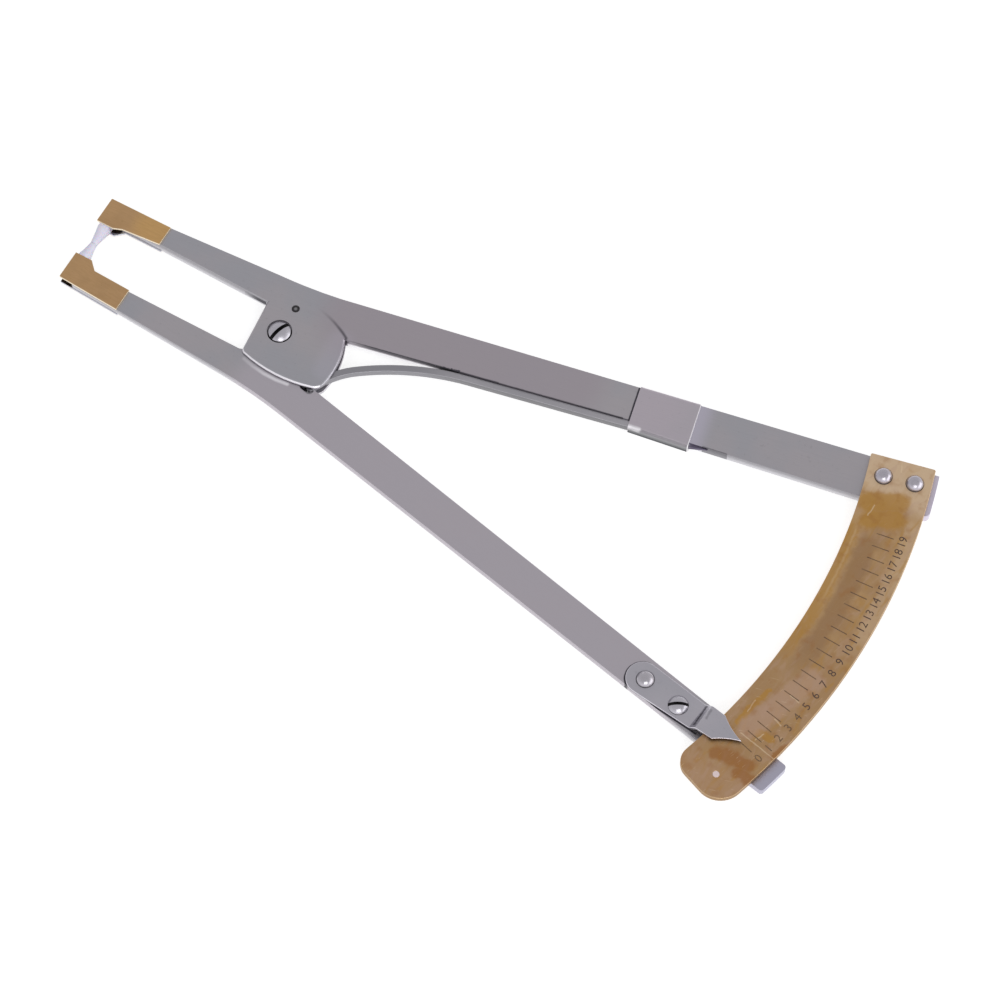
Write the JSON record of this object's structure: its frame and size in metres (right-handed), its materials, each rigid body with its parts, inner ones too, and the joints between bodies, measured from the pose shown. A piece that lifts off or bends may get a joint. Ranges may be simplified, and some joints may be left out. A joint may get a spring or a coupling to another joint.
{
  "type": "lens thickness caliper",
  "caption": "Spring-closed lens thickness caliper: two crossed steel levers on one pivot, nylon jaw tips, and a pointer that reads a brass millimetre arc.",
  "frame": {"origin": "on the pivot axis, at the underside of the rear cover, which is the plane it lies on", "axes": "+X from the pivot along the middle of the two grips towards the scale, +Y towards the lever that carries the scale, +Z out of the face with the graduations"},
  "size_m": [0.1884, 0.0869, 0.006],
  "materials": {
    "steel": "satin",
    "spring_steel": "satin",
    "pin_steel": "satin",
    "screw_steel": "polished",
    "rivet_steel": "polished",
    "brass": "satin",
    "scale_brass": "patinated",
    "nylon": "matte"
  },
  "bodies": {
    "scale_side": {"scale_arm": "steel", "rear_cover": "steel", "cover_pin": "pin_steel", "pivot_screw": "screw_steel", "leaf_spring": "spring_steel", "spring_clip": "steel", "scale_jaw_top_cheek": "brass", "scale_jaw_bottom_cheek": "brass", "scale_jaw_tip": "nylon", "scale_plate": "scale_brass", "scale_rivets": "rivet_steel", "stop_pin": "pin_steel"},
    "pointer_side": {"pointer_arm": "steel", "pointer_jaw_top_cheek": "brass", "pointer_jaw_bottom_cheek": "brass", "pointer_jaw_tip": "nylon", "pointer_rivet": "rivet_steel", "pointer_screw": "screw_steel"},
    "pointer_blade": {"pointer": "steel"}
  },
  "joints": [
    {"name": "lever_pivot", "type": "hinge", "parent": "scale_side", "child": "pointer_side", "pos_m": [0, 0, 0], "axis": [0, 0, 1], "range_deg": [0, 25], "stiffness_Nm_per_rad": 0.3, "springref_deg": -17.19, "deforming": ["leaf_spring"]},
    {"name": "pointer_zero", "type": "hinge", "parent": "pointer_side", "child": "pointer_blade", "pos_m": [0.10545, -0.0316, 0], "axis": [0, 0, 1], "range_deg": [-1.5, 1.5]}
  ]
}
